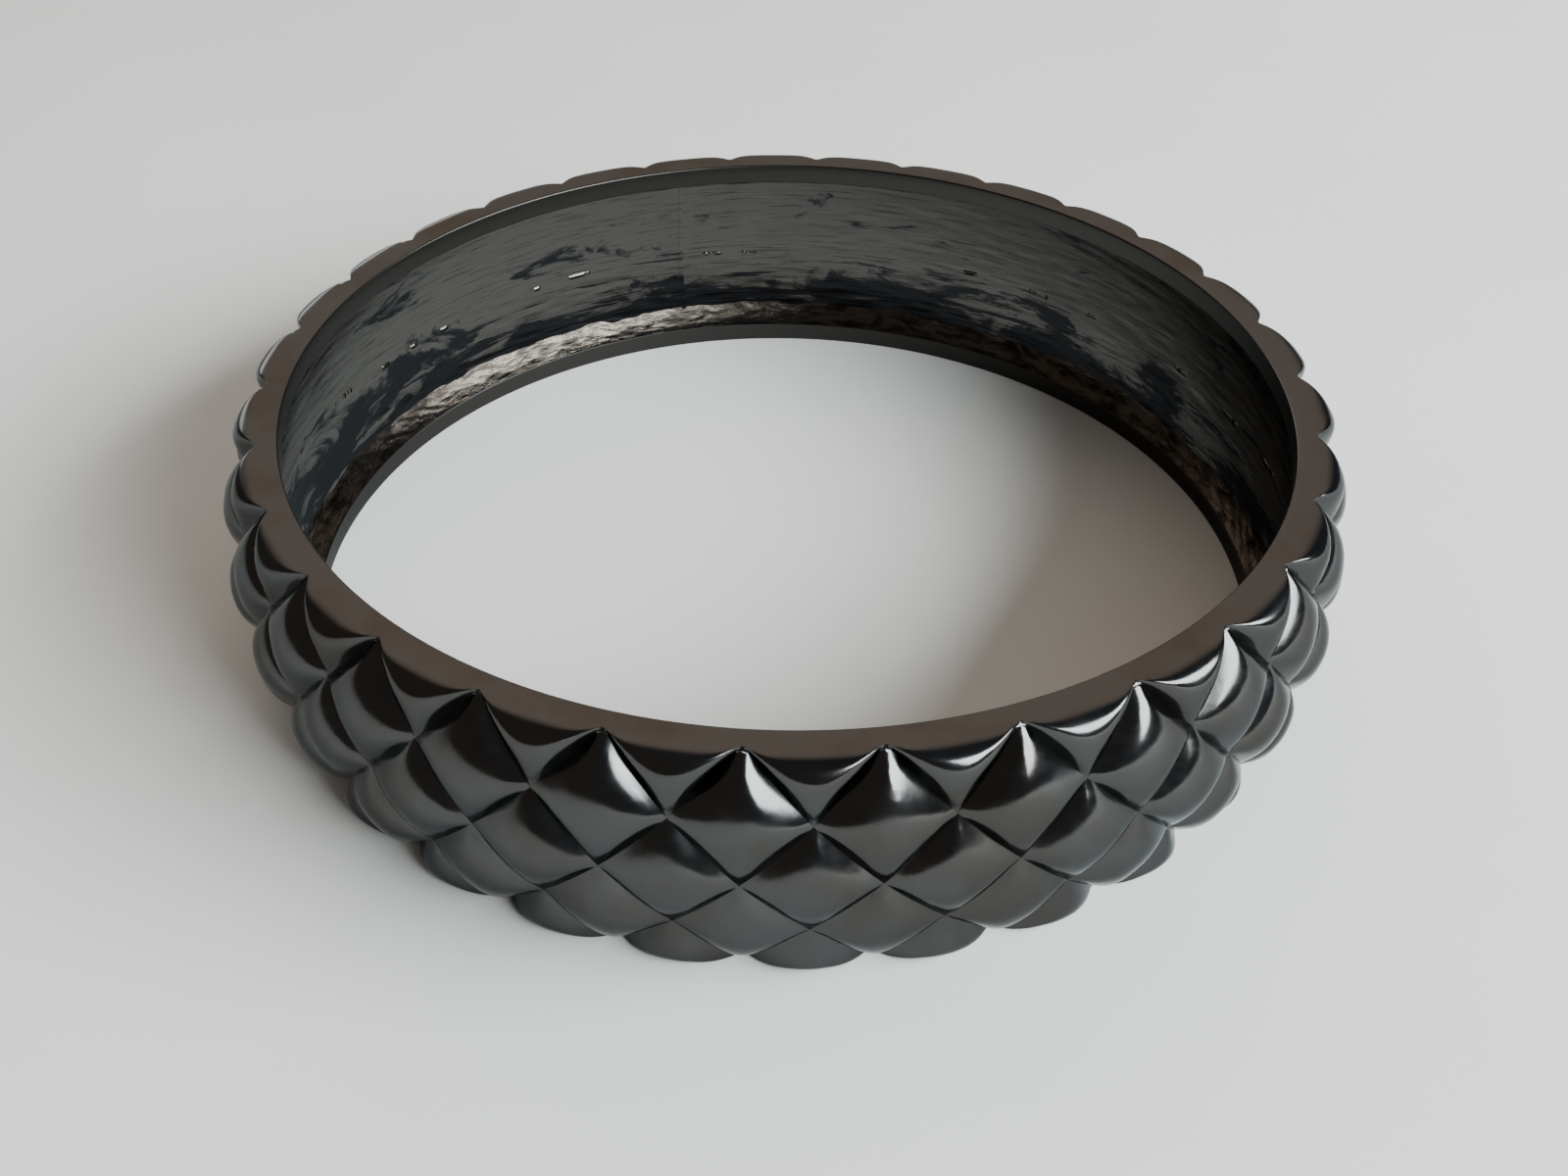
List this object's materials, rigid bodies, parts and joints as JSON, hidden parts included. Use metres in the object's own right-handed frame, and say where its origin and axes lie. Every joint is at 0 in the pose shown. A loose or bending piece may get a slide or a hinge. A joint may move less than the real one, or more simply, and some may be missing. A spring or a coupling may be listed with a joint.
{
  "type": "bangle bracelet",
  "caption": "Closed slip-on bangle: a quilted hollow metal shell with turned-in lips, lined by a plain recessed inner band.",
  "frame": {"origin": "centre of the lower rim's flat face", "axes": "+Z along the bore to the upper rim; a pair of grooves meets each rim on +X; +Y is the side with the joints"},
  "size_m": [0.0736, 0.074, 0.0162],
  "materials": {
    "shell_plating": "polished black nickel plating on pressed brass",
    "liner_plating": "as rolled and streaked, under the same dark plating",
    "solder": "rough, brown and mottled; hard solder of about the density of brass"
  },
  "bodies": {
    "root": {"quilted_shell": "shell_plating", "shell_joint_solder": "shell_plating", "liner_band": "liner_plating", "liner_joint_solder": "liner_plating", "upper_lip_solder": "solder", "lower_lip_solder": "solder"}
  },
  "joints": []
}
